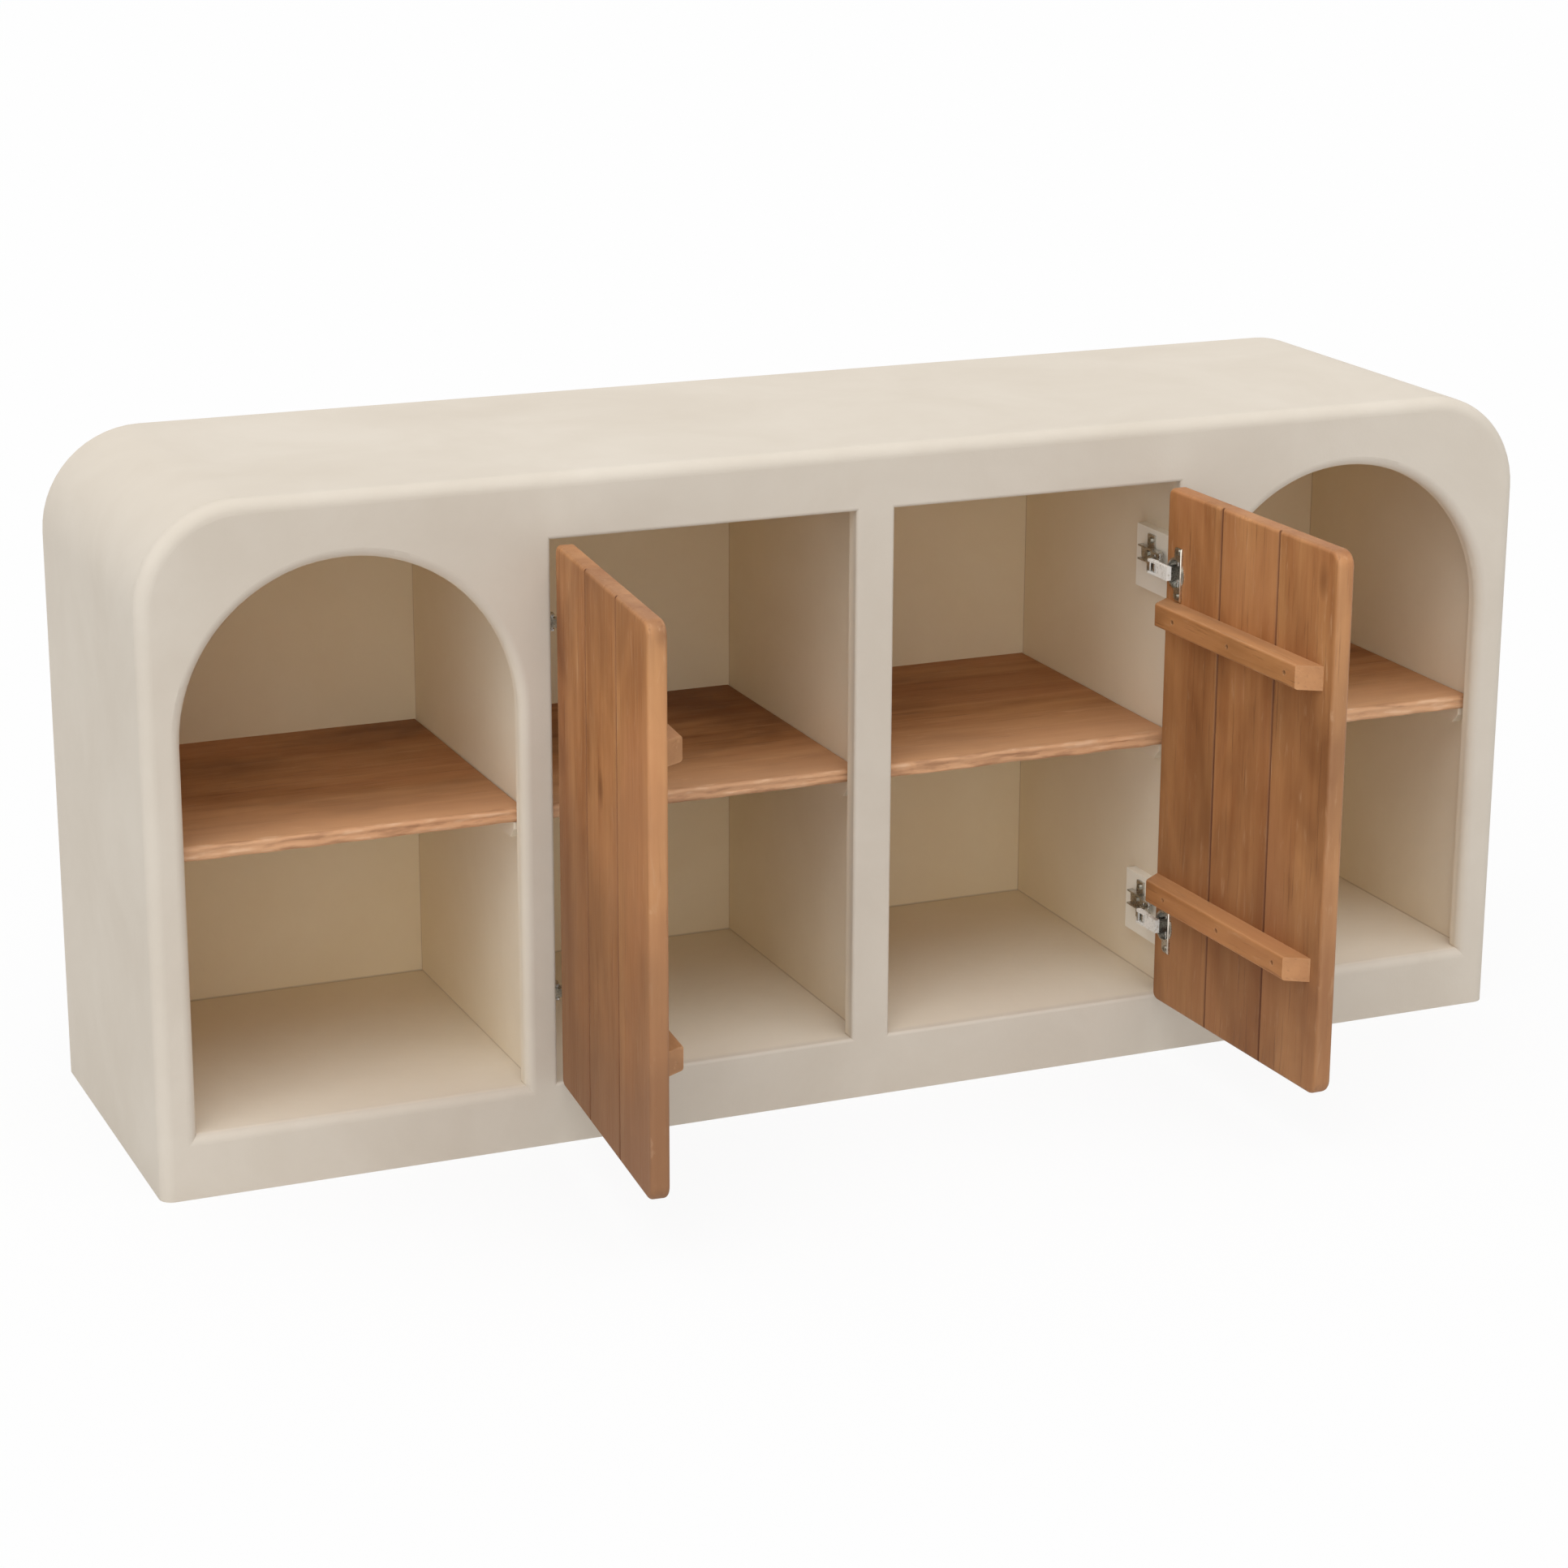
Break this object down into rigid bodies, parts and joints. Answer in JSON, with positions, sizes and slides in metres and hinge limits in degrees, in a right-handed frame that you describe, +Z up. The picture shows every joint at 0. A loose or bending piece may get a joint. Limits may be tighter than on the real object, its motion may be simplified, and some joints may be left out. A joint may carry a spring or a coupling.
{
  "type": "moroccan carved cabinet",
  "caption": "Low cream plastered sideboard with soft rounded corners, open arched niches at the ends, wooden plank doors on concealed hinges and wooden shelves.",
  "frame": {"origin": "centre of the carcass underside, on the floor", "axes": "+Z up, +X along the front to the right as seen from the front, front face towards -Y"},
  "size_m": [1.66, 0.794, 0.76],
  "materials": {
    "cream_plaster": "cream limewash plaster skim over board, matte",
    "painted_blocks": "cream painted, matte",
    "bare_board": "raw board",
    "door_wood": "waxed reclaimed planks, satin",
    "shelf_wood": "waxed reclaimed board, satin",
    "hinge_metal": "nickel plated",
    "white_block": "white, satin",
    "screw_steel": "zinc plated"
  },
  "bodies": {
    "carcass": {"arm_screws": "screw_steel", "back_panel": "cream_plaster", "bottom_deck": "cream_plaster", "centre_divider": "cream_plaster", "front_panel": "cream_plaster", "left_bay_shelf": "shelf_wood", "left_corner_shell": "cream_plaster", "left_divider": "cream_plaster", "left_lower_hinge_arm": "hinge_metal", "left_lower_mounting_plate": "hinge_metal", "left_lower_packing_block": "painted_blocks", "left_niche_shelf": "shelf_wood", "left_side_panel": "cream_plaster", "left_upper_hinge_arm": "hinge_metal", "left_upper_mounting_plate": "hinge_metal", "left_upper_packing_block": "painted_blocks", "mounting_plate_screws": "screw_steel", "plinth_bearers": "bare_board", "rear_plinth_rail": "bare_board", "right_bay_shelf": "shelf_wood", "right_corner_shell": "cream_plaster", "right_divider": "cream_plaster", "right_lower_hinge_arm": "hinge_metal", "right_lower_mounting_plate": "hinge_metal", "right_lower_packing_block": "painted_blocks", "right_niche_shelf": "shelf_wood", "right_side_panel": "cream_plaster", "right_upper_hinge_arm": "hinge_metal", "right_upper_mounting_plate": "hinge_metal", "right_upper_packing_block": "painted_blocks", "shelf_cleats": "painted_blocks", "top_panel": "cream_plaster"},
    "left_door": {"left_batten_screws": "screw_steel", "left_cup_screws": "screw_steel", "left_door_free_plank": "door_wood", "left_door_hinge_plank": "door_wood", "left_door_lower_batten": "door_wood", "left_door_middle_plank": "door_wood", "left_door_upper_batten": "door_wood", "left_lower_hinge_cup": "hinge_metal", "left_upper_hinge_cup": "hinge_metal"},
    "left_rear_links": {"left_rear_links": "hinge_metal"},
    "left_link_blocks": {"left_upper_link_block": "white_block", "left_lower_link_block": "white_block"},
    "left_front_links": {"left_front_links": "hinge_metal"},
    "right_door": {"right_batten_screws": "screw_steel", "right_cup_screws": "screw_steel", "right_door_free_plank": "door_wood", "right_door_hinge_plank": "door_wood", "right_door_lower_batten": "door_wood", "right_door_middle_plank": "door_wood", "right_door_upper_batten": "door_wood", "right_lower_hinge_cup": "hinge_metal", "right_upper_hinge_cup": "hinge_metal"},
    "right_rear_links": {"right_rear_links": "hinge_metal"},
    "right_link_blocks": {"right_upper_link_block": "white_block", "right_lower_link_block": "white_block"},
    "right_front_links": {"right_front_links": "hinge_metal"}
  },
  "joints": [
    {"name": "left_door_swing", "type": "hinge", "parent": "carcass", "child": "left_door", "pos_m": [-0.3835, -0.22, 0.3805], "axis": [0, 0, -1], "range_deg": [-95, 8]},
    {"name": "left_rear_link_pivot", "type": "hinge", "parent": "carcass", "child": "left_rear_links", "pos_m": [-0.3705, -0.189, 0.3805], "axis": [0, 0, -1], "range_deg": [-95, 8]},
    {"name": "left_link_block_pivot", "type": "hinge", "parent": "left_rear_links", "child": "left_link_blocks", "pos_m": [-0.35262, -0.21415, 0.3805], "axis": [0, 0, -1], "range_deg": [-8, 95]},
    {"name": "left_front_link_pivot", "type": "hinge", "parent": "carcass", "child": "left_front_links", "pos_m": [-0.3688, -0.1802, 0.3805], "axis": [0, 0, -1], "range_deg": [-95, 8]},
    {"name": "right_door_swing", "type": "hinge", "parent": "carcass", "child": "right_door", "pos_m": [0.3835, -0.22, 0.3805], "axis": [0, 0, 1], "range_deg": [-92, 11]},
    {"name": "right_rear_link_pivot", "type": "hinge", "parent": "carcass", "child": "right_rear_links", "pos_m": [0.3705, -0.189, 0.3805], "axis": [0, 0, 1], "range_deg": [-92, 11]},
    {"name": "right_link_block_pivot", "type": "hinge", "parent": "right_rear_links", "child": "right_link_blocks", "pos_m": [0.35133, -0.21318, 0.3805], "axis": [0, 0, 1], "range_deg": [-11, 92]},
    {"name": "right_front_link_pivot", "type": "hinge", "parent": "carcass", "child": "right_front_links", "pos_m": [0.3688, -0.1802, 0.3805], "axis": [0, 0, 1], "range_deg": [-92, 11]}
  ],
  "couplings": [
    {"joint": "left_rear_link_pivot", "follows": "left_door_swing", "ratio": 1},
    {"joint": "left_link_block_pivot", "follows": "left_door_swing", "ratio": -1},
    {"joint": "left_front_link_pivot", "follows": "left_door_swing", "ratio": 1},
    {"joint": "right_rear_link_pivot", "follows": "right_door_swing", "ratio": 1},
    {"joint": "right_link_block_pivot", "follows": "right_door_swing", "ratio": -1},
    {"joint": "right_front_link_pivot", "follows": "right_door_swing", "ratio": 1}
  ]
}
